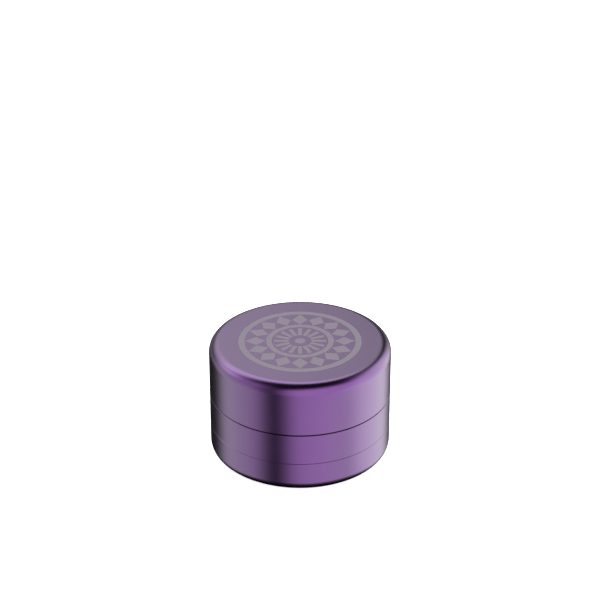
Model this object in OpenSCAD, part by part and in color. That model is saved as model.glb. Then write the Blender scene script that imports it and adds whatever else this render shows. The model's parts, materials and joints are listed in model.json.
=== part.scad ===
// Hand grinder for dried herbs, in three turned aluminium shells.
// The lid carries a toothed plate and turns on the grinding chamber, which holds
// a second toothed plate. What falls through that plate lands in the cup, which
// screws on below and has a lift-out sieve over a shallow tray.
// Origin: centre of the base, on the surface it stands on. +Z is up, in millimetres.

/* [Shells] */
// Outside diameter of the lid, the chamber and the cup
body_d = 63; // [62:0.5:66]
// Height of the cup, from the base to its rim
cup_h = 11.05; // [11:0.05:13]
// Height of the chamber's outer band, from the cup's rim to the shoulder
chamber_h = 11.1; // [10.5:0.1:13]
// Height of the lid, from its rim to its top
lid_h = 18.7; // [18.5:0.05:20]
// Open seam between the lid's rim and the chamber's shoulder
lid_seam = 0.35; // [0.25:0.05:0.5]
// Radius of the lid's rounded top edge
top_edge_r = 3.5; // [2:0.1:4]
// Radius of the cup's rounded bottom edge
base_edge_r = 3.4; // [2:0.1:3.6]
// Small chamfer on each edge at the seams
seam_chamfer = 0.1; // [0.05:0.05:0.3]
// Thickness of the lid's top
lid_top_t = 4; // [3.8:0.1:4.5]
// Thickness of the lid's skirt
lid_skirt_t = 2.6; // [2.4:0.1:3]
// Thickness of the bowl wall that stands up inside the lid
bowl_wall_t = 1.7; // [1.5:0.1:2]
// Thickness of the cup's floor
cup_floor_t = 1.5; // [1.2:0.1:1.7]

/* [Toothed plates] */
// Thickness of each toothed plate
plate_t = 2.4; // [2:0.1:2.6]
// Height of the lower plate's teeth
tooth_h = 10; // [9.5:0.1:10.5]
// Width of a tooth along a radius
tooth_w = 2.8; // [2.4:0.1:3]
// Length of a tooth along its ring
tooth_l = 5; // [4:0.1:5.2]
// Radius of the innermost ring of teeth
first_ring_r = 10.3; // [10.2:0.1:10.5]
// Radial step from one ring of teeth to the next
ring_step = 3.4; // [3.3:0.05:3.45]
// Diameter of the holes that the ground herb falls through
drop_hole_d = 3.6; // [3:0.1:3.8]

/* [Cup thread] */
// Distance between neighbouring ridges
thread_pitch = 1.5; // [1.4:0.05:1.6]
// Number of separate ridges wound side by side
thread_starts = 4; // [2:1:4]
// Depth of the thread
thread_depth = 0.8; // [0.7:0.05:0.8]
// Room on each flank of the thread
thread_play = 0.12; // [0.1:0.01:0.15]

/* [Magnets, screws and rings] */
// Diameter of each centre magnet
magnet_d = 10; // [8:0.5:10]
// Thickness of each centre magnet
magnet_t = 3; // [2.5:0.1:3]
// Diameter of the screws that hold the upper plate
screw_d = 2.5; // [2:0.1:2.5]
// Length of those screws
screw_l = 5; // [4.5:0.1:5]
// Thickness of the acetal sleeve that the lid glides on
glide_t = 0.88; // [0.8:0.02:0.9]
// Wire diameter of the snap ring over the lower plate
snap_wire_d = 0.9; // [0.8:0.05:1]
// Section diameter of the seal between the cup and the chamber
seal_d = 1.4; // [1.3:0.05:1.4]
// Section diameter of the ring that grips the sieve in the cup
sieve_grip_d = 1; // [0.9:0.05:1]

/* [Hidden] */
$fn = 96;

slip = 0.06;        // radial room where one part turns or slides on another
touch = 0.02;       // room where two flat faces rest on each other
through = 1;        // how far a cutting shape runs past the face that it cuts
pin_room = 0.04;    // on the diameter of a hole that holds a pin, a screw or a magnet
end_room = 0.1;     // between a pin's end and the end of its hole

// Heights of the shells
body_r = body_d / 2;
z_shoulder = cup_h + chamber_h;
z_lid = z_shoulder + lid_seam;
z_top = z_lid + lid_h;
z_ceiling = z_top - lid_top_t;

// Upper and lower plates
z_upper = z_ceiling - plate_t;               // underside of the upper plate
tooth_end_gap = 0.8;                         // from a lower tooth's end to the upper plate
upper_tooth_gap = 0.6;                       // from an upper tooth's end to the lower plate
z_lower = z_upper - tooth_h - tooth_end_gap; // top of the lower plate
z_ledge = z_lower - plate_t;                 // face that the lower plate sits on
upper_tooth_h = z_upper - z_lower - upper_tooth_gap;
lower_ring_teeth = [3, 6, 12];               // on rings 0, 2 and 4
upper_ring_teeth = [6, 9];                   // on rings 1 and 3
drop_holes_in_lane = [12, 18];               // on rings 1 and 3
drop_pair_turn = [15, 10.4];                 // half the turn between a pair's holes, rings 0 and 2
function ring_r(i) = first_ring_r + i * ring_step;

// Bowl, lid bore and the glide ring between them
lid_bore_r = body_r - lid_skirt_t;
bowl_out_r = lid_bore_r - glide_t - 2 * slip;
bowl_r = bowl_out_r - bowl_wall_t;
z_bowl_rim = z_upper - 1;
ledge_r = bowl_r - 2.6;
glide_h = 5;
glide_flange_r = body_r - 1.2;
bead_r = 0.35;                               // bead that snaps the glide ring into the lid
bead_room = 0.1;
z_bead = z_shoulder + 3.2;

// Hubs, with a magnet in each
hub_r = magnet_d / 2 + 1.8;
pocket_r = (magnet_d + 2 * pin_room) / 2;
wear_disc_t = 0.5;
hub_gap = 0.85;                              // from hub to hub, filled by the thrust cap
z_hub = (z_upper + z_lower) / 2 - 0.3;       // top of the lower hub
z_hub_upper = z_hub + hub_gap;               // end of the upper hub
cap_sleeve_t = 0.65;
cap_sleeve_h = 2.1;

// Thread between the cup and the chamber
thread_lead = thread_pitch * thread_starts;
thread_r = body_r - 3.1;                     // outer radius of the chamber's thread
thread_root_r = thread_r - thread_depth;
thread_room = 0.15;                          // radial room at crest and root
flank_slope = 0.375;                         // widening of a groove for each mm of radius, a side
root_w = thread_pitch / 3;                   // width of the chamber's groove at its root
cup_crest_r = thread_root_r + thread_room;
cup_root_r = thread_r + thread_room;
z_spigot = 6.2;                              // lower end of the chamber's thread
z_seal_seat = cup_h - 1.45;                  // step that the seal sits above
seal_groove_r = thread_r - 1;
seal_bore_r = seal_groove_r + seal_d + 0.1;
spigot_bore_r = thread_root_r - 1.6;
facet_angle = 5;                             // turn between two sections of a thread

// Sieve and tray
z_sieve = 3.3;                               // ledge that the sieve sits on
tray_r = spigot_bore_r + 0.2;
sieve_bore_r = cup_crest_r + 0.2;
sieve_r = cup_crest_r - 0.25;
sieve_h = 2.55;
mesh_r = sieve_r - 1.7;
mesh_t = 0.2;
mesh_lip_t = 0.6;
clip_w = 0.95;
clip_h = 0.8;
z_mesh = z_sieve + mesh_lip_t + touch;
z_grip = z_sieve + 1.35;
grip_centre_r = sieve_bore_r - 0.05 - sieve_grip_d / 2;

// Screws and dowels
screw_ring_r = ring_r(2);
screw_head_r = screw_d / 2 + 1.1;
screw_socket_af = 1.5;
upper_dowel_d = 2;
upper_dowel_l = 3.6;
upper_dowel_turn = 60;                       // from a screw to the next dowel
dowel_d = 1.5;
dowel_l = 3.4;
dowel_ring_r = bowl_r - 1.2;
hold_points = 3;                             // screws in the lid, dowels in the ledge

// A rectangle in a lathe profile, from radius r1 to r2 and from height z1 to z2
module band(r1, r2, z1, z2) {
    translate([r1, z1]) square([r2 - r1, z2 - z1]);
}

// A 45 degree chamfer of size c, cut at a profile's corner
module nick(r, z, c) {
    translate([r, z]) rotate(45) square(c * sqrt(2), center = true);
}

// What a rounded inside corner leaves standing: the corner is at r, z and opens inwards
module cove(r, z, size, up) {
    difference() {
        band(r - size, r, up ? z - size : z, up ? z : z + size);
        translate([r - size, up ? z - size : z + size]) circle(size);
    }
}

// Copies of a shape, evenly spaced on a ring, the first one turned by start
module ring_of(count, r, start = 0) {
    for (i = [0:count - 1])
        rotate(start + i * 360 / count) translate([r, 0, 0]) children();
}

// One diamond-shaped tooth, standing on z = 0, with its long diagonal along the ring
module tooth(h) {
    linear_extrude(height = h)
        polygon([[tooth_w / 2, 0], [0, tooth_l / 2], [-tooth_w / 2, 0], [0, -tooth_l / 2]]);
}

// A ring of teeth with a gap at angle 0
module tooth_ring(count, r, h) {
    ring_of(count, r, 180 / count) tooth(h);
}

// One thread groove as a solid: a trapezium swept along a right-hand helix from z1 to z2.
// Its width is w1 at radius r1 and w2 at radius r2.
module thread_groove(r1, w1, r2, w2, z1, z2, turn) {
    steps = ceil((z2 - z1) / thread_lead * 360 / facet_angle);
    sections = [
        for (i = [0:steps])
            let (z = z1 + (z2 - z1) * i / steps, a = turn + 360 * z / thread_lead)
                each [
                    [r1 * cos(a), r1 * sin(a), z - w1 / 2],
                    [r2 * cos(a), r2 * sin(a), z - w2 / 2],
                    [r2 * cos(a), r2 * sin(a), z + w2 / 2],
                    [r1 * cos(a), r1 * sin(a), z + w1 / 2]
                ]
    ];
    sides = [
        for (i = [0:steps - 1], k = [0:3])
            let (a = 4 * i + k, b = 4 * i + (k + 1) % 4)
                each [[a, b, a + 4], [b, b + 4, a + 4]]
    ];
    last = 4 * steps;
    ends = [[3, 2, 1, 0], [last, last + 1, last + 2, last + 3]];
    polyhedron(points = sections, faces = concat(sides, ends));
}

// Lid: a cup turned from bar, with a rounded top edge and three tapped holes in its ceiling
module lid_shell() {
    color("#75578f")
    difference() {
        rotate_extrude() difference() {
            union() {
                band(0, body_r, z_lid, z_top - top_edge_r);
                band(0, body_r - top_edge_r, z_lid, z_top);
                translate([body_r - top_edge_r, z_top - top_edge_r]) circle(top_edge_r);
            }
            difference() {
                band(0, lid_bore_r, z_lid - through, z_ceiling);
                cove(lid_bore_r, z_ceiling, 0.5, true);
            }
            translate([lid_bore_r - slip, z_bead]) circle(bead_r + bead_room);
            nick(body_r, z_lid, seam_chamfer);
            nick(lid_bore_r, z_lid, 0.3);
        }
        ring_of(hold_points, screw_ring_r)
            translate([0, 0, z_ceiling - through])
                cylinder(d = screw_d + pin_room, h = through + screw_l - plate_t + 2 * end_room);
        ring_of(hold_points, screw_ring_r, upper_dowel_turn)
            translate([0, 0, z_ceiling - through])
                cylinder(d = upper_dowel_d + pin_room, h = through + upper_dowel_l / 2 + end_room);
    }
}

// Upper plate: teeth that hang down between the lower ones, and a hub with a magnet pocket
module upper_tooth_plate() {
    color("#b9bcc0")
    difference() {
        union() {
            rotate_extrude() difference() {
                union() {
                    band(0, lid_bore_r - 0.6, z_upper, z_ceiling - touch);
                    band(0, hub_r, z_hub_upper, z_upper + through);
                }
                band(0, pocket_r, z_hub_upper - through, z_hub_upper + wear_disc_t + magnet_t + end_room);
                nick(hub_r, z_hub_upper, 0.3);
                nick(lid_bore_r - 0.6, z_upper, 0.3);
            }
            for (i = [0:1])
                translate([0, 0, z_upper - upper_tooth_h])
                    tooth_ring(upper_ring_teeth[i], ring_r(2 * i + 1), upper_tooth_h + 0.5);
        }
        ring_of(hold_points, screw_ring_r) {
            translate([0, 0, z_upper - through])
                cylinder(d = screw_d + 0.3, h = plate_t + 2 * through);
            translate([0, 0, z_upper - 0.01])
                cylinder(r1 = screw_head_r + 0.06, r2 = screw_d / 2, h = screw_head_r - screw_d / 2 + 0.06);
        }
        ring_of(hold_points, screw_ring_r, upper_dowel_turn)
            translate([0, 0, z_ceiling - upper_dowel_l / 2 - end_room])
                cylinder(d = upper_dowel_d + pin_room, h = upper_dowel_l);
    }
}

// Flat-head screws, heads flush with the upper plate's underside
module upper_plate_screws() {
    head_h = screw_head_r - screw_d / 2;
    color("#8d9095")
    ring_of(hold_points, screw_ring_r)
        difference() {
            union() {
                translate([0, 0, z_upper]) cylinder(r1 = screw_head_r, r2 = screw_d / 2, h = head_h);
                translate([0, 0, z_upper + head_h / 2]) cylinder(d = screw_d, h = screw_l - head_h / 2);
            }
            translate([0, 0, z_upper - through])
                cylinder(r = screw_socket_af / sqrt(3), h = through + 1, $fn = 6);
        }
}

// Pins half in the upper plate and half in the lid, which take the turning load
module upper_plate_dowels() {
    color("#8d9095")
    ring_of(hold_points, screw_ring_r, upper_dowel_turn)
        translate([0, 0, z_ceiling - upper_dowel_l / 2]) cylinder(d = upper_dowel_d, h = upper_dowel_l);
}

// A disc magnet with slightly broken edges
module magnet(z) {
    color("#a9adb3")
    rotate_extrude() difference() {
        band(0, magnet_d / 2, z, z + magnet_t);
        nick(magnet_d / 2, z, 0.2);
        nick(magnet_d / 2, z + magnet_t, 0.2);
    }
}

module upper_magnet() {
    magnet(z_hub_upper + wear_disc_t + touch);
}

// Steel disc under the upper magnet, which runs on the thrust cap
module upper_wear_disc() {
    color("#c4c7cb")
    translate([0, 0, z_hub_upper]) cylinder(d = magnet_d, h = wear_disc_t);
}

// Acetal ring that the lid turns on. Its bead snaps into a groove in the lid, and its
// flange carries the lid's rim.
module lid_glide_ring() {
    inner_r = bowl_out_r + slip;
    outer_r = inner_r + glide_t;
    color("#1c1b1f")
    rotate_extrude() difference() {
        union() {
            band(inner_r, outer_r, z_shoulder + touch, z_shoulder + glide_h);
            band(inner_r, glide_flange_r, z_shoulder + touch, z_lid - touch);
            translate([lid_bore_r - slip, z_bead]) circle(bead_r);
        }
        nick(outer_r, z_shoulder + glide_h, 0.3);
        // keeps the bead out of the sleeve's own bore
        band(inner_r - through, inner_r, z_shoulder, z_shoulder + glide_h);
    }
}

// Chamber: a band with the bowl wall above it and the threaded spigot below it
module chamber_body() {
    z_band = cup_h + 0.03;
    relief_r = bowl_r + 1.4;
    color("#75578f")
    difference() {
        rotate_extrude() difference() {
            polygon([
                [spigot_bore_r, z_spigot], [thread_r, z_spigot],
                [thread_r, z_seal_seat], [seal_groove_r, z_seal_seat],
                [seal_groove_r, z_band], [body_r, z_band],
                [body_r, z_shoulder], [bowl_out_r, z_shoulder],
                [bowl_out_r, z_bowl_rim], [bowl_r, z_bowl_rim],
                [bowl_r, z_ledge], [ledge_r, z_ledge],
                [ledge_r, z_ledge - 1.2], [relief_r, z_ledge - 4.6],
                [relief_r, cup_h + 2.6], [spigot_bore_r, cup_h + 1]
            ]);
            nick(body_r, z_band, seam_chamfer);
            nick(body_r, z_shoulder, seam_chamfer);
            nick(bowl_out_r, z_bowl_rim, 0.4);
            nick(bowl_r, z_bowl_rim, 0.4);
            nick(thread_r, z_spigot, 0.5);
            translate([bowl_r - 0.05, z_lower + touch + snap_wire_d / 2]) circle(snap_wire_d / 2 + 0.05);
        }
        for (k = [0:thread_starts - 1])
            thread_groove(
                thread_root_r, root_w,
                thread_r + 0.4, root_w + 2 * flank_slope * (thread_depth + 0.4),
                z_spigot - 0.8, z_seal_seat + 0.6,
                k * 360 / thread_starts
            );
        ring_of(hold_points, dowel_ring_r)
            translate([0, 0, z_ledge - dowel_l / 2 - end_room])
                cylinder(d = dowel_d + pin_room, h = dowel_l);
    }
}

// Lower plate: teeth, drop holes and a hub with the second magnet pocket
module lower_tooth_plate() {
    color("#b9bcc0")
    difference() {
        union() {
            rotate_extrude() difference() {
                union() {
                    band(0, bowl_r - 0.08, z_ledge + touch, z_lower);
                    band(0, hub_r, z_lower - through, z_hub);
                }
                band(0, pocket_r, z_hub - magnet_t - end_room, z_hub + through);
                nick(hub_r, z_hub, 0.3);
            }
            for (i = [0:2])
                translate([0, 0, z_lower - 0.5])
                    tooth_ring(lower_ring_teeth[i], ring_r(2 * i), tooth_h + 0.5);
        }
        drop_holes();
        ring_of(hold_points, dowel_ring_r)
            translate([0, 0, z_ledge - through])
                cylinder(d = dowel_d + pin_room, h = through + dowel_l / 2 + end_room);
    }
}

// The rings of drop holes: two full rings in the lanes of the upper teeth, and pairs of
// holes between the lower teeth
module drop_holes() {
    hole_z = z_ledge - through;
    hole_h = plate_t + 2 * through;
    for (i = [0:1])
        ring_of(drop_holes_in_lane[i], ring_r(2 * i + 1))
            translate([0, 0, hole_z]) cylinder(d = drop_hole_d, h = hole_h);
    for (i = [0:1], side = [-1, 1])
        ring_of(lower_ring_teeth[i], ring_r(2 * i), side * drop_pair_turn[i])
            translate([0, 0, hole_z]) cylinder(d = drop_hole_d, h = hole_h);
}

// Pins half in the chamber's ledge and half in the lower plate, which stop it turning
module plate_dowels() {
    color("#8d9095")
    ring_of(hold_points, dowel_ring_r)
        translate([0, 0, z_ledge - dowel_l / 2]) cylinder(d = dowel_d, h = dowel_l);
}

// Round-wire snap ring in the bowl's groove, over the edge of the lower plate
module plate_snap_ring() {
    opening = 14;
    color("#8d9095")
    rotate(opening / 2 + 180)
        rotate_extrude(angle = 360 - opening)
            translate([bowl_r - 0.05, z_lower + touch + snap_wire_d / 2]) circle(d = snap_wire_d);
}

module lower_magnet() {
    magnet(z_hub - magnet_t - 0.05);
}

// Acetal cap over the lower hub and its magnet
module lower_thrust_cap() {
    cap_r = hub_r + 0.05;
    color("#e8e4da")
    rotate_extrude() difference() {
        union() {
            band(0, cap_r + cap_sleeve_t, z_hub + touch, z_hub_upper - touch);
            band(cap_r, cap_r + cap_sleeve_t, z_hub - cap_sleeve_h, z_hub + 0.1);
        }
        nick(cap_r + cap_sleeve_t, z_hub_upper - touch, 0.3);
    }
}

// Seal in the groove above the chamber's thread
module chamber_seal_ring() {
    color("#26242a")
    rotate_extrude()
        translate([seal_groove_r + 0.05 + seal_d / 2, (z_seal_seat + cup_h) / 2 + touch])
            circle(d = seal_d);
}

// Cup: seal seat, thread, sieve seat and a shallow tray, one below the other
module cup_body() {
    relief_h = 1;
    groove_w = thread_pitch - root_w + 2 * thread_play;   // at the chamber's root radius
    color("#75578f")
    difference() {
        rotate_extrude() difference() {
            union() {
                band(0, body_r, base_edge_r, cup_h);
                band(0, body_r - base_edge_r, 0, cup_h);
                translate([body_r - base_edge_r, base_edge_r]) circle(base_edge_r);
            }
            band(0, seal_bore_r, z_seal_seat, cup_h + through);
            band(0, cup_crest_r, z_sieve + 1, z_seal_seat + 0.1);
            band(0, cup_root_r + 0.05, z_spigot - 0.2 - relief_h, z_spigot - 0.2);
            band(0, sieve_bore_r, z_sieve, z_spigot - 0.2 - relief_h / 2);
            difference() {
                band(0, tray_r, cup_floor_t, z_sieve + 0.1);
                cove(tray_r, cup_floor_t, 1.2, false);
            }
            band(0, body_r - base_edge_r - 3, -through, 0.4);
            nick(body_r, cup_h, seam_chamfer);
            nick(seal_bore_r, cup_h, 0.2);
        }
        for (k = [0:thread_starts - 1])
            thread_groove(
                cup_crest_r - 0.3, groove_w - 2 * flank_slope * (thread_room - 0.3),
                cup_root_r, groove_w - 2 * flank_slope * (thread_depth + thread_room),
                z_spigot - 0.6, z_seal_seat + 0.7,
                (k + 0.5) * 360 / thread_starts
            );
    }
}

// Frame of the sieve, with a lip under the mesh and a groove for its grip ring
module sieve_frame() {
    color("#b9bcc0")
    rotate_extrude() difference() {
        band(mesh_r - 1.3, sieve_r, z_sieve + touch, z_sieve + sieve_h);
        band(0, mesh_r + 0.05, z_sieve + mesh_lip_t, z_sieve + sieve_h + through);
        translate([grip_centre_r, z_grip]) circle(sieve_grip_d / 2 + 0.03);
        nick(sieve_r, z_sieve + sieve_h, 0.25);
        nick(sieve_r, z_sieve + touch, 0.25);
    }
}

// Sheet of fine woven wire
module sieve_mesh() {
    color("#c9ccd0")
    translate([0, 0, z_mesh]) cylinder(r = mesh_r, h = mesh_t);
}

// Flat spring ring that clips the mesh into its frame
module sieve_clip_ring() {
    opening = 8;
    color("#8d9095")
    rotate(opening / 2)
        rotate_extrude(angle = 360 - opening)
            band(mesh_r - clip_w, mesh_r, z_mesh + mesh_t + touch, z_mesh + mesh_t + clip_h);
}

// Ring that holds the sieve in the cup by friction
module sieve_grip_ring() {
    color("#26242a")
    rotate_extrude() translate([grip_centre_r, z_grip]) circle(d = sieve_grip_d);
}

lid_shell();
upper_tooth_plate();
upper_plate_screws();
upper_plate_dowels();
upper_magnet();
upper_wear_disc();
lid_glide_ring();
chamber_body();
lower_tooth_plate();
plate_dowels();
plate_snap_ring();
lower_magnet();
lower_thrust_cap();
chamber_seal_ring();
cup_body();
sieve_frame();
sieve_mesh();
sieve_clip_ring();
sieve_grip_ring();
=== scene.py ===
# %% [markdown]
# # A hand grinder in turned, anodised aluminium
#
# The solid model already holds every part at its true size: three purple shells, two toothed
# plates, magnets, screws, seals and a sieve. Here each part gets the finish that the real one
# has, and the few parts whose real surface is finer than the solid model's are made again.
# Everything is in metres, in the same frame as the solid model, with +Z up.

# %% Load the grinder
import math

import bpy
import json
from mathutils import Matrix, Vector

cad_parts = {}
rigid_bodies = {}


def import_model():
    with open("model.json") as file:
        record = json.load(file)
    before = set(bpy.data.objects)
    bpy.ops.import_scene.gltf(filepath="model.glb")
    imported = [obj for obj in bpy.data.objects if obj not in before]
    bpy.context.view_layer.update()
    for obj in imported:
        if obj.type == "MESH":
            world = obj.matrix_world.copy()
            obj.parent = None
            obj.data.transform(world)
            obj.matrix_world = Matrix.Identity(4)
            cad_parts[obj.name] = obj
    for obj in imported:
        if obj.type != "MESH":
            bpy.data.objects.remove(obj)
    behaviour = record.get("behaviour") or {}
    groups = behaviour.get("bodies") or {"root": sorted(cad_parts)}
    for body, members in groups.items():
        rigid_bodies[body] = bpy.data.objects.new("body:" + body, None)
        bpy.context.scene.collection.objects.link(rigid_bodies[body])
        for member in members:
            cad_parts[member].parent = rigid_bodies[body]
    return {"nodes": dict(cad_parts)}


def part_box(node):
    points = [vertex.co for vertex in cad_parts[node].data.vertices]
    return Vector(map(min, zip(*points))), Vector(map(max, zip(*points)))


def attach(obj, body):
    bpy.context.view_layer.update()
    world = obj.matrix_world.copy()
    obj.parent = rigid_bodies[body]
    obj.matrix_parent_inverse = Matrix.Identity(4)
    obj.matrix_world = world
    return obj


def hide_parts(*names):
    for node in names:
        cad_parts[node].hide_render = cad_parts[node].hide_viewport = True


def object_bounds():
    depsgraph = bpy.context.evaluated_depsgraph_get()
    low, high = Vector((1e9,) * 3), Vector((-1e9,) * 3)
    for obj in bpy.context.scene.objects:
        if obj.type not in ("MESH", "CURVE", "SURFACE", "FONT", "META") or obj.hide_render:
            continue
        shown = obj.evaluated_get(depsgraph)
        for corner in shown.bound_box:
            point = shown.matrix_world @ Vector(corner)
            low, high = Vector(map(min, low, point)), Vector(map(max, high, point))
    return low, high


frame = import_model()
cad_low, cad_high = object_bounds()
MM = 0.001
body_radius = (cad_high.x - cad_low.x) / 2
body_height = cad_high.z - cad_low.z
print(f"grinder: {2 * body_radius / MM:.1f} mm across, {body_height / MM:.1f} mm high")

# %% [markdown]
# ## Small helpers
#
# Colours are written as the hex values that a paint program shows. Blender's shaders work in
# linear light, so one function turns the first into the second. A second function adds a node to
# a material or a world, sets its options and sockets, and makes its links. The last two start an
# empty material and clear the selection, because an operator acts on all that is selected.

# %% Colour, node and selection helpers
def linear(hex_colour):
    """An sRGB hex colour as linear red, green, blue and alpha."""
    channels = [int(hex_colour[i : i + 2], 16) / 255 for i in (1, 3, 5)]
    return [c / 12.92 if c <= 0.04045 else ((c + 0.055) / 1.055) ** 2.4 for c in channels] + [1.0]


def add_node(tree, kind, settings=None, **sockets):
    """Adds a node. A socket goes by its name, with _ for a space, or by _ and its number."""
    node = tree.nodes.new("ShaderNode" + kind)
    for name, value in (settings or {}).items():
        setattr(node, name, value)
    for name, value in sockets.items():
        socket = node.inputs[int(name[1:]) if name[1:].isdigit() else name.replace("_", " ")]
        if isinstance(value, bpy.types.NodeSocket):
            tree.links.new(value, socket)
        else:
            socket.default_value = value
    return node


def new_material(name):
    """An empty material with its node tree and output."""
    material = bpy.data.materials.new(name)
    material.use_nodes = True
    tree = material.node_tree
    tree.nodes.clear()
    return material, tree, tree.nodes.new("ShaderNodeOutputMaterial")


def deselect_all():
    """Nothing selected, so that the next operator acts only on what it is given."""
    for item in bpy.context.view_layer.objects:
        item.select_set(False)


print("purple of the shells in linear light:", [round(c, 3) for c in linear("#8a63a6")[:3]])

# %% [markdown]
# ## The camera
#
# A long lens from above and in front keeps the round body nearly undistorted. The camera looks a
# little over the grinder, so the grinder sits in the lower half of the square picture.

# %% Place the camera
camera_distance = 20.79 * body_radius
camera_elevation = math.radians(32.32)
camera_pitch = math.radians(27.90)

camera_data = bpy.data.cameras.new("camera")
camera_data.sensor_width = 36
camera_data.lens = 110.4
camera = bpy.data.objects.new("camera", camera_data)
camera.location = (
    0,
    -camera_distance * math.cos(camera_elevation),
    camera_distance * math.sin(camera_elevation),
)
camera.rotation_euler = (math.radians(90) - camera_pitch, 0, 0)
camera_data.clip_start = 0.01
camera_data.clip_end = 50
bpy.context.scene.collection.objects.link(camera)
bpy.context.scene.camera = camera
print(f"camera {camera_distance:.3f} m away, looking down {math.degrees(camera_pitch):.1f} degrees")

# %% [markdown]
# ## The floor
#
# A wide, pale floor, lit from inside as well as from above, as a light table is, so the grinder
# throws no shadow on it. The lights that shape the metal come from all round it, so the floor lets
# them past and doesn't show in the metal.

# %% Make the floor
floor_radius = 6
bpy.ops.mesh.primitive_circle_add(vertices=96, radius=floor_radius, fill_type="NGON")
floor = bpy.context.object
floor.name = "floor"
floor_material, tree, output = new_material("matt_white_light_table")
matt = add_node(tree, "BsdfDiffuse", Color=linear("#f6f6f6"), Roughness=1.0)
glow = add_node(tree, "Emission", Color=linear("#ffffff"), Strength=0.75)
both = add_node(tree, "AddShader", _0=matt.outputs[0], _1=glow.outputs[0])
tree.links.new(both.outputs[0], output.inputs["Surface"])
floor.data.materials.append(floor_material)
floor.visible_diffuse = False
floor.visible_glossy = False
floor.visible_shadow = False
print(f"floor {2 * floor_radius} m across")

# %% [markdown]
# ## The light
#
# Satin metal shows little but what it reflects, so the light is designed as soft panels round the
# grinder. Tall panels low down give the walls their upright bands, with a dark gap in front on the
# left. A pale panel behind gives the flat top its tone, and a brighter one above it draws the line
# of light along the rounded edge. Overhead is dark, which draws the dark line below it, and so is
# everything steeply below, which draws the dark line round the foot. A weak, low panel behind keeps
# the far side from going black. Each panel is a soft-edged patch of the world, set by its direction
# and its half width, so no lamp shows. One wide lamp overhead lights what is matt, which is the
# floor, the plastic, the rubber and the mark on the lid. The metal doesn't mirror it.

# %% Make the panels
world = bpy.data.worlds.new("studio")
world.use_nodes = True
bpy.context.scene.world = world
tree = world.node_tree
tree.nodes.clear()
direction = add_node(tree, "TexCoord").outputs["Generated"]
WHITE = linear("#ffffff")
DARK_BELOW = math.sin(math.radians(-52))
LIT_ABOVE = math.sin(math.radians(-39))


def panel(azimuth, elevation, half_wide, half_high, soft, strength):
    """A soft-edged patch of light. Azimuth 0 is in front, 90 on the right. All but strength in degrees."""
    turned = add_node(
        tree,
        "VectorRotate",
        {"rotation_type": "Z_AXIS"},
        Vector=direction,
        Angle=math.radians(-azimuth),
    )
    tipped = add_node(
        tree,
        "VectorRotate",
        {"rotation_type": "X_AXIS"},
        Vector=turned.outputs[0],
        Angle=math.radians(elevation),
    )
    parts = add_node(tree, "SeparateXYZ", Vector=tipped.outputs[0])
    depth = add_node(tree, "Math", {"operation": "MULTIPLY"}, _0=parts.outputs["Y"], _1=-1.0).outputs[0]
    masks = []
    for across, half in ((parts.outputs["X"], half_wide), (parts.outputs["Z"], half_high)):
        angle = add_node(tree, "Math", {"operation": "ARCTAN2"}, _0=across, _1=depth).outputs[0]
        size = add_node(tree, "Math", {"operation": "ABSOLUTE"}, _0=angle).outputs[0]
        masks.append(
            add_node(
                tree,
                "MapRange",
                {"interpolation_type": "SMOOTHSTEP"},
                Value=size,
                From_Min=math.radians(half + soft / 2),
                From_Max=math.radians(half - soft / 2),
                To_Min=0.0,
                To_Max=1.0,
            ).outputs[0]
        )
    both = add_node(tree, "Math", {"operation": "MULTIPLY"}, _0=masks[0], _1=masks[1]).outputs[0]
    return add_node(tree, "Math", {"operation": "MULTIPLY"}, _0=both, _1=strength).outputs[0]


panels = [
    panel(azimuth=27, elevation=1, half_wide=45, half_high=46, soft=38, strength=0.91),
    panel(azimuth=106, elevation=-1, half_wide=36, half_high=47, soft=34, strength=0.98),
    panel(azimuth=-82, elevation=0, half_wide=36, half_high=50, soft=36, strength=0.55),
    panel(azimuth=-137, elevation=34, half_wide=42, half_high=13, soft=26, strength=0.61),
    panel(azimuth=-158, elevation=54, half_wide=28, half_high=13, soft=18, strength=1.0),
    panel(azimuth=180, elevation=-4, half_wide=60, half_high=14, soft=22, strength=0.15),
]
total = panels[0]
for light in panels[1:]:
    total = add_node(tree, "Math", {"operation": "ADD"}, _0=total, _1=light).outputs[0]
height = add_node(tree, "SeparateXYZ", Vector=direction).outputs["Z"]
skirt = add_node(
    tree,
    "MapRange",
    {"interpolation_type": "SMOOTHSTEP"},
    Value=height,
    From_Min=DARK_BELOW,
    From_Max=LIT_ABOVE,
).outputs[0]
total = add_node(tree, "Math", {"operation": "MULTIPLY"}, _0=total, _1=skirt).outputs[0]
studio = add_node(tree, "Background", Color=WHITE, Strength=total)
backdrop = add_node(tree, "Background", Color=WHITE, Strength=1.0)
seen = add_node(tree, "LightPath").outputs["Is Camera Ray"]
mixed = add_node(tree, "MixShader", Fac=seen, _1=studio.outputs[0], _2=backdrop.outputs[0])
world_output = tree.nodes.new("ShaderNodeOutputWorld")
tree.links.new(mixed.outputs[0], world_output.inputs["Surface"])
bpy.context.scene.view_settings.view_transform = "Standard"
print(f"{len(panels)} soft panels round the grinder")

# %% Light the matt surfaces
lamp_data = bpy.data.lights.new("floor_light", "AREA")
lamp_data.shape = "DISK"
lamp_data.size = 3
lamp_data.energy = 100
lamp = bpy.data.objects.new("floor_light", lamp_data)
lamp.location = (0, 0, 2)
lamp.visible_glossy = False
bpy.context.scene.collection.objects.link(lamp)
print(f"a lamp {lamp_data.size:.0f} m wide, {lamp.location.z:.0f} m up")

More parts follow.
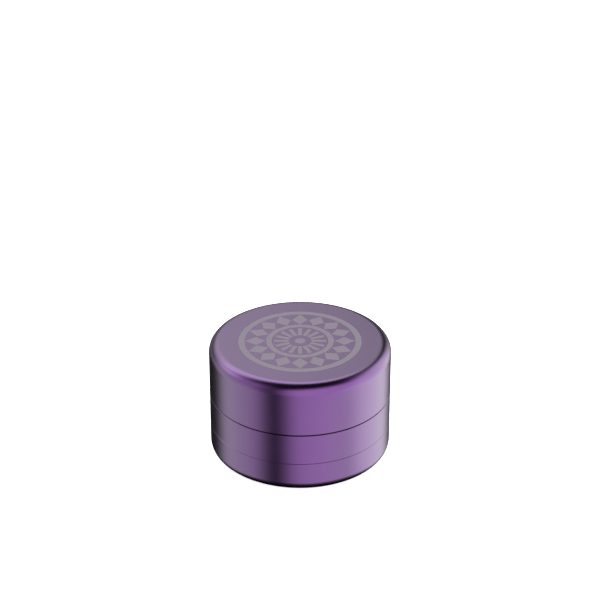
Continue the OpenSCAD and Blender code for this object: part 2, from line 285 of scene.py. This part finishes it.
# %% [markdown]
# ## Anodised aluminium
#
# Each shell is turned from aluminium bar, blasted with fine glass beads, dyed purple and sealed.
# The dye sits in a clear oxide film, so the colour is the metal's own reflection through the dye,
# and a second, colourless reflection comes off the film itself and grows as the surface turns away.
# That is a mix of two glossy shaders, weighted by how steeply the surface is seen. The beads leave
# dimples of about 0.05 mm, drawn here at 0.3 mm because finer ones would not show.

# %% The bead-blasted, dyed finish
def object_parts(tree):
    """Object coordinates in metres, and the distance from the grinder's axis."""
    place = add_node(tree, "TexCoord").outputs["Object"]
    split = add_node(tree, "SeparateXYZ", Vector=place)
    flat = add_node(tree, "CombineXYZ", X=split.outputs["X"], Y=split.outputs["Y"])
    radius = add_node(tree, "VectorMath", {"operation": "LENGTH"}, _0=flat.outputs[0]).outputs["Value"]
    return place, split, radius


def dyed_aluminium(name):
    """Purple anodised aluminium. Returns the material, its tree, its output and its shader."""
    material, tree, output = new_material(name)
    place = object_parts(tree)[0]
    dimples = add_node(tree, "TexNoise", Vector=place, Scale=1 / (0.3 * MM), Detail=2.0)
    blasted = add_node(tree, "Bump", Strength=0.12, Distance=0.01 * MM, Height=dimples.outputs["Fac"])
    cloudy = add_node(tree, "TexNoise", Vector=place, Scale=1 / (18 * MM), Detail=3.0).outputs["Fac"]
    satin = add_node(tree, "MapRange", Value=cloudy, To_Min=0.225, To_Max=0.275).outputs[0]
    dye = add_node(tree, "ValToRGB", Fac=cloudy)
    dye.color_ramp.elements[0].position = 0.3
    dye.color_ramp.elements[0].color = linear("#9262ac")
    dye.color_ramp.elements[1].position = 0.7
    dye.color_ramp.elements[1].color = linear("#9666b0")
    metal = add_node(
        tree,
        "BsdfPrincipled",
        Base_Color=dye.outputs[0],
        Metallic=1.0,
        Roughness=satin,
        Normal=blasted.outputs[0],
    )
    film = add_node(
        tree,
        "BsdfGlossy",
        Color=linear("#e4dfe8"),
        Roughness=satin,
        Normal=blasted.outputs[0],
    )
    slant = add_node(tree, "LayerWeight", Blend=0.5).outputs["Facing"]
    share = add_node(tree, "MapRange", Value=slant, From_Min=0.13, From_Max=1.0, To_Max=0.8).outputs[0]
    coated = add_node(tree, "MixShader", Fac=share, _1=metal.outputs[0], _2=film.outputs[0])
    tree.links.new(coated.outputs[0], output.inputs["Surface"])
    return material, tree, output, coated


shell_material = dyed_aluminium("anodised_aluminium_purple")[0]
for name in ("chamber_body", "cup_body"):
    frame["nodes"][name].data.materials[0] = shell_material
print("purple finish on the chamber and the cup")

# %% [markdown]
# ## The mark on the lid
#
# A laser bleaches the dye out of the lid's top and leaves a pale, matt pattern. The pattern here is
# plain geometry: two rings, a circle of lozenges, short bars and a centre disc. A shape is a sum or
# a maximum of two distances, one along the radius and one across the nearest spoke, so one small
# function draws them all and the pattern stays sharp at any size.

# %% Laser-marked lid
SPOKES = 16
ALL_ROUND = 1.0  # a half width that no point reaches, for a shape that goes all the way round
BLUR = 0.03
TOP_SKIN = 0.2 * MM
lid_material, tree, output, coated = dyed_aluminium("anodised_aluminium_purple_laser_marked")
_, split, radius = object_parts(tree)
angle = add_node(
    tree, "Math", {"operation": "ARCTAN2"}, _0=split.outputs["Y"], _1=split.outputs["X"]
).outputs[0]
turn = add_node(tree, "Math", {"operation": "MULTIPLY"}, _0=angle, _1=SPOKES / math.tau).outputs[0]
fold = add_node(tree, "Math", {"operation": "PINGPONG"}, _0=turn, _1=0.5).outputs[0]
spread = add_node(tree, "Math", {"operation": "MULTIPLY"}, _0=fold, _1=math.tau / SPOKES).outputs[0]
across = add_node(tree, "Math", {"operation": "MULTIPLY"}, _0=spread, _1=radius).outputs[0]


def mark(centre, half_long, half_wide, pointed=False):
    """How far a point is from a shape's middle: 1 on its outline. Lengths are in metres."""
    offset = add_node(tree, "Math", {"operation": "SUBTRACT"}, _0=radius, _1=centre).outputs[0]
    away = add_node(tree, "Math", {"operation": "ABSOLUTE"}, _0=offset).outputs[0]
    along = add_node(tree, "Math", {"operation": "DIVIDE"}, _0=away, _1=half_long).outputs[0]
    aside = add_node(tree, "Math", {"operation": "DIVIDE"}, _0=across, _1=half_wide).outputs[0]
    join = "ADD" if pointed else "MAXIMUM"
    return add_node(tree, "Math", {"operation": join}, _0=along, _1=aside).outputs[0]


marks = [
    mark(0.640 * body_radius, 0.034 * body_radius, ALL_ROUND),
    mark(0.488 * body_radius, 0.112 * body_radius, 0.088 * body_radius, pointed=True),
    mark(0.340 * body_radius, 0.030 * body_radius, ALL_ROUND),
    mark(0.205 * body_radius, 0.080 * body_radius, 0.022 * body_radius),
    mark(0, 0.060 * body_radius, ALL_ROUND),
]
nearest = marks[0]
for other in marks[1:]:
    nearest = add_node(tree, "Math", {"operation": "MINIMUM"}, _0=nearest, _1=other).outputs[0]
inside = add_node(tree, "MapRange", Value=nearest, From_Min=1 + BLUR, From_Max=1 - BLUR).outputs[0]
lid_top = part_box("lid_shell")[1].z
on_top = add_node(
    tree, "Math", {"operation": "GREATER_THAN"}, _0=split.outputs["Z"], _1=lid_top - TOP_SKIN
).outputs[0]
bleached = add_node(tree, "Math", {"operation": "MULTIPLY"}, _0=inside, _1=on_top).outputs[0]
pale = add_node(tree, "BsdfPrincipled", Base_Color=linear("#8b838f"), Metallic=0.6, Roughness=0.5)
marked = add_node(tree, "MixShader", Fac=bleached, _1=coated.outputs[0], _2=pale.outputs[0])
tree.links.new(marked.outputs[0], output.inputs["Surface"])
frame["nodes"]["lid_shell"].data.materials[0] = lid_material
print(f"{SPOKES}-fold mark in {len(marks)} shapes")

# %% [markdown]
# ## Turned and milled aluminium
#
# The toothed plates and the sieve's frame are left in the colour of the metal and clear anodised,
# with an oxide film that scatters part of the light, so they look milkier than bare metal does.
# A lathe tool leaves fine rings round the axis, one for each turn of feed. The real feed of 0.1 mm
# is too fine to show, so the rings are 0.35 mm apart. A Bevel node rounds the broken edges of the
# teeth and the holes by 0.12 mm, which is where such parts catch the light.

# %% Clear-anodised plates and sieve frame
FEED = 0.35 * MM
BROKEN_EDGE = 0.12 * MM
plate_material, tree, output = new_material("clear_anodised_machined_aluminium")
place, _, radius = object_parts(tree)
phase = add_node(tree, "Math", {"operation": "MULTIPLY"}, _0=radius, _1=math.tau / FEED).outputs[0]
rings = add_node(tree, "Math", {"operation": "SINE"}, _0=phase).outputs[0]
patches = add_node(tree, "TexNoise", Vector=place, Scale=1 / (4 * MM), Detail=4.0).outputs["Fac"]
broken_edge = add_node(tree, "Bevel", {"samples": 4}, Radius=BROKEN_EDGE).outputs[0]
tooled = add_node(tree, "Bump", Strength=0.25, Distance=0.01 * MM, Height=rings, Normal=broken_edge)
satin = add_node(tree, "MapRange", Value=patches, To_Min=0.24, To_Max=0.38).outputs[0]
tone = add_node(tree, "ValToRGB", Fac=patches)
tone.color_ramp.elements[0].position = 0.35
tone.color_ramp.elements[0].color = linear("#b3b5b9")
tone.color_ramp.elements[1].position = 0.65
tone.color_ramp.elements[1].color = linear("#c3c5c8")
shader = add_node(
    tree,
    "BsdfPrincipled",
    Base_Color=tone.outputs[0],
    Metallic=0.7,
    Roughness=satin,
    Normal=tooled.outputs[0],
)
tree.links.new(shader.outputs[0], output.inputs["Surface"])
for name in ("upper_tooth_plate", "lower_tooth_plate", "sieve_frame"):
    frame["nodes"][name].data.materials[0] = plate_material
print(f"machining rings every {FEED / MM} mm on three parts")

# %% [markdown]
# ## Broken edges on the toothed plates
#
# A machinist takes the sharpness off an edge with a narrow flat, and those flats are what catches
# the light on the teeth. The solid model leaves the edges sharp. So each plate is copied, the loose
# triangles of the copy are merged into whole faces, and a Bevel modifier cuts the flats. On the
# lower plate only the teeth and the hub get them, because its drop holes come within about 0.2 mm
# of the teeth.

# %% Toothed plates with broken edges
WELD = 0.001 * MM
FLAT = math.radians(0.5)
SHARP = math.radians(30)
PLATE_THICKNESS = 2.4 * MM


def break_edges(cad_name, body, name, height):
    """Shows a copy of a CAD plate with a flat along each sharp edge that reaches above a height."""
    mesh = frame["nodes"][cad_name].data.copy()
    plate = bpy.data.objects.new(name, mesh)
    bpy.context.scene.collection.objects.link(plate)
    deselect_all()
    plate.select_set(True)
    bpy.context.view_layer.objects.active = plate
    bpy.ops.mesh.customdata_custom_splitnormals_clear()
    bpy.ops.object.mode_set(mode="EDIT")
    bpy.ops.mesh.select_all(action="SELECT")
    bpy.ops.mesh.remove_doubles(threshold=WELD)
    bpy.ops.mesh.dissolve_limited(angle_limit=FLAT)
    bpy.ops.mesh.select_all(action="DESELECT")
    bpy.ops.mesh.edges_select_sharp(sharpness=SHARP)
    bpy.ops.object.mode_set(mode="OBJECT")
    weights = mesh.attributes.new("bevel_weight_edge", "FLOAT", "EDGE").data
    for edge in mesh.edges:
        upper_end = max(mesh.vertices[end].co.z for end in edge.vertices)
        weights[edge.index].value = float(edge.select and upper_end > height)
    bevel = plate.modifiers.new("broken_edges", "BEVEL")
    bevel.limit_method = "WEIGHT"
    bevel.width = BROKEN_EDGE
    bevel.segments = 1
    bevel.use_clamp_overlap = False
    bevel.loop_slide = False
    bpy.ops.object.modifier_apply(modifier=bevel.name)
    bpy.ops.object.shade_smooth_by_angle(angle=SHARP)
    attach(plate, body)
    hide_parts(cad_name)
    print(f"{name}: {sum(len(face.vertices) - 2 for face in mesh.polygons)} triangles")


lower_plate_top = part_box("lower_tooth_plate")[0].z + PLATE_THICKNESS
break_edges("upper_tooth_plate", "lid", "upper_plate_deburred", cad_low.z)
break_edges("lower_tooth_plate", "chamber", "lower_plate_deburred", lower_plate_top)

# %% [markdown]
# ## Steel and nickel
#
# The screws, dowels and spring rings are stainless steel, drawn and tumbled, with random hairline
# scratches. The magnets are plated with nickel, which is warmer and brighter than steel. Both are
# one pattern with other numbers, so one function makes them.

# %% Tumbled metals
def tumbled_metal(name, shade, highlight, smooth, rough, scratch_length):
    """A bright metal with fine scratches from tumbling, whose size is in metres."""
    material, tree, output = new_material(name)
    place = object_parts(tree)[0]
    stretched = add_node(tree, "Mapping", Vector=place, Scale=(1, 1, 6)).outputs[0]
    scratches = add_node(
        tree, "TexNoise", Vector=stretched, Scale=1 / scratch_length, Detail=6.0, Roughness=0.65
    ).outputs["Fac"]
    finish = add_node(tree, "MapRange", Value=scratches, To_Min=smooth, To_Max=rough).outputs[0]
    scored = add_node(tree, "Bump", Strength=0.15, Distance=0.01 * MM, Height=scratches)
    tone = add_node(tree, "ValToRGB", Fac=scratches)
    tone.color_ramp.elements[0].position = 0.4
    tone.color_ramp.elements[0].color = linear(shade)
    tone.color_ramp.elements[1].position = 0.6
    tone.color_ramp.elements[1].color = linear(highlight)
    shader = add_node(
        tree,
        "BsdfPrincipled",
        Base_Color=tone.outputs[0],
        Metallic=1.0,
        Roughness=finish,
        Normal=scored.outputs[0],
    )
    tree.links.new(shader.outputs[0], output.inputs["Surface"])
    return material


steel = tumbled_metal("tumbled_stainless_steel", "#a3a5a8", "#b5b6b8", 0.16, 0.3, 0.8 * MM)
nickel = tumbled_metal("nickel_plate", "#b8b2a6", "#c6c1b5", 0.1, 0.2, 1.5 * MM)
steel_parts = (
    "upper_plate_screws",
    "upper_plate_dowels",
    "upper_wear_disc",
    "plate_dowels",
    "plate_snap_ring",
    "sieve_clip_ring",
)
for name in steel_parts:
    frame["nodes"][name].data.materials[0] = steel
for name in ("upper_magnet", "lower_magnet"):
    frame["nodes"][name].data.materials[0] = nickel
print(f"steel on {len(steel_parts)} parts, nickel on two magnets")

# %% [markdown]
# ## Plastic and rubber
#
# The glide ring and the thrust cap are acetal, a waxy plastic that is turned like metal, black and
# in its natural milky white. The seal and the sieve's grip ring are nitrile rubber, moulded matt.
# They differ in colour, in how rough they are and in the size and depth of their grain.

# %% Acetal and nitrile rubber
def soft_finish(name, shade, highlight, rough, grain, depth, milky=0.0):
    """A plastic or rubber, with its grain size and depth in metres."""
    material, tree, output = new_material(name)
    place = object_parts(tree)[0]
    pits = add_node(tree, "TexNoise", Vector=place, Scale=1 / grain, Detail=4.0).outputs["Fac"]
    uneven = add_node(tree, "Bump", Strength=0.35, Distance=depth, Height=pits)
    sheen = add_node(tree, "MapRange", Value=pits, To_Min=rough - 0.06, To_Max=rough + 0.06).outputs[0]
    tone = add_node(tree, "ValToRGB", Fac=pits)
    tone.color_ramp.elements[0].position = 0.35
    tone.color_ramp.elements[0].color = linear(shade)
    tone.color_ramp.elements[1].position = 0.65
    tone.color_ramp.elements[1].color = linear(highlight)
    shader = add_node(
        tree,
        "BsdfPrincipled",
        Base_Color=tone.outputs[0],
        Roughness=sheen,
        IOR=1.5,
        Subsurface_Weight=milky,
        Subsurface_Scale=1 * MM,
        Normal=uneven.outputs[0],
    )
    tree.links.new(shader.outputs[0], output.inputs["Surface"])
    return material


black_acetal = soft_finish("black_acetal", "#141317", "#1f1e22", 0.36, 0.6 * MM, 0.02 * MM)
natural_acetal = soft_finish("natural_acetal", "#e2dfd6", "#eeebe4", 0.34, 0.6 * MM, 0.02 * MM, 0.3)
rubber = soft_finish("nitrile_rubber", "#1a191c", "#29282b", 0.62, 0.25 * MM, 0.05 * MM)
frame["nodes"]["lid_glide_ring"].data.materials[0] = black_acetal
frame["nodes"]["lower_thrust_cap"].data.materials[0] = natural_acetal
for name in ("chamber_seal_ring", "sieve_grip_ring"):
    frame["nodes"][name].data.materials[0] = rubber
print("acetal on two parts, rubber on two rings")

# %% [markdown]
# ## The sieve's wire cloth
#
# Real cloth is plain weave: each wire goes over one neighbour and under the next. One wavelength of
# two wires is modelled by extruding a small diamond along its path, an Array modifier repeats it
# both ways, and a copy turned a quarter gives the wires that cross it. Fine cloth has a wire every
# 0.25 mm. These are 0.8 mm apart, so that each one can be seen, and rolled flat to the thickness
# that the frame clamps.

# %% Two wires, one wavelength long
cloth_low, cloth_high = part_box("sieve_mesh")
cloth_radius = (cloth_high.x - cloth_low.x) / 2
cloth_middle = (cloth_low.z + cloth_high.z) / 2
PITCH = 0.8 * MM
WIRE_ROOM = 0.98  # a wire's share of its half of the thickness, so that crossing wires don't touch
crimp = (cloth_high.z - cloth_low.z) / 4
wire_width = 0.2 * MM
wire_height = 2 * crimp * WIRE_ROOM
cells = 2 * math.ceil(cloth_radius / (2 * PITCH))
first = -cells * PITCH


def wavelength(row, side):
    """One wavelength of a wire along X, which first rises if side is 1 and falls if it is -1."""
    deselect_all()
    bpy.ops.mesh.primitive_circle_add(
        vertices=4, radius=0.5, rotation=(0, math.radians(90), 0), location=(first, row, cloth_middle)
    )
    bpy.ops.object.transform_apply(location=False)
    bpy.ops.object.mode_set(mode="EDIT")
    bpy.ops.transform.resize(value=(1, wire_width, wire_height))
    for step in (1, -1, -1, 1):
        bpy.ops.mesh.extrude_region_move(
            TRANSFORM_OT_translate={"value": (PITCH / 2, 0, step * side * crimp)}
        )
    bpy.ops.object.mode_set(mode="OBJECT")
    return bpy.context.object


wires = [wavelength(first + 0.5 * PITCH, 1), wavelength(first + 1.5 * PITCH, -1)]
deselect_all()
for wire in wires:
    wire.select_set(True)
bpy.context.view_layer.objects.active = wires[0]
bpy.ops.object.join()
cloth = bpy.context.object
cloth.name = "sieve_wire_cloth"
bpy.ops.object.transform_apply(location=True)
print(f"{len(cloth.data.polygons)} faces in one wavelength of two wires")

# %% Repeat them, and cut the cloth round
for across_wires in (False, True):
    repeat = cloth.modifiers.new("repeat", "ARRAY")
    repeat.use_relative_offset = False
    repeat.use_constant_offset = True
    repeat.constant_offset_displace = (0, 2 * PITCH, 0) if across_wires else (2 * PITCH, 0, 0)
    repeat.count = cells
    bpy.ops.object.modifier_apply(modifier=repeat.name)
bpy.ops.object.mode_set(mode="EDIT")
bpy.ops.mesh.select_all(action="SELECT")
bpy.ops.mesh.remove_doubles(threshold=0.01 * MM)
bpy.ops.mesh.select_all(action="DESELECT")
bpy.ops.object.mode_set(mode="OBJECT")
for face in cloth.data.polygons:
    wire_row = (math.floor(face.center.y / PITCH) + 0.5) * PITCH
    face.select = math.hypot(face.center.x, wire_row) > cloth_radius - PITCH / 2
bpy.ops.object.mode_set(mode="EDIT")
bpy.ops.mesh.delete(type="FACE")
bpy.ops.mesh.select_all(action="SELECT")
bpy.ops.mesh.fill_holes(sides=4)
bpy.ops.mesh.select_all(action="SELECT")
bpy.ops.mesh.normals_make_consistent(inside=False)
bpy.ops.mesh.select_all(action="DESELECT")
bpy.ops.object.mode_set(mode="OBJECT")
print(f"{len(cloth.data.polygons)} faces in the wires that run one way")

# %% Cross them
bpy.ops.object.duplicate()
crossing = bpy.context.object
crossing.rotation_euler.z = math.radians(90)
bpy.ops.object.transform_apply(rotation=True)
cloth.select_set(True)
bpy.context.view_layer.objects.active = cloth
bpy.ops.object.join()
bpy.ops.object.shade_smooth()
cloth.data.materials.clear()
cloth.data.materials.append(
    tumbled_metal("woven_stainless_wire", "#a9abad", "#c2c3c5", 0.22, 0.36, 0.5 * MM)
)
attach(cloth, "cup")
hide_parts("sieve_mesh")
print(f"wire cloth: {sum(len(face.vertices) - 2 for face in cloth.data.polygons)} triangles")

# %% Finish
import json
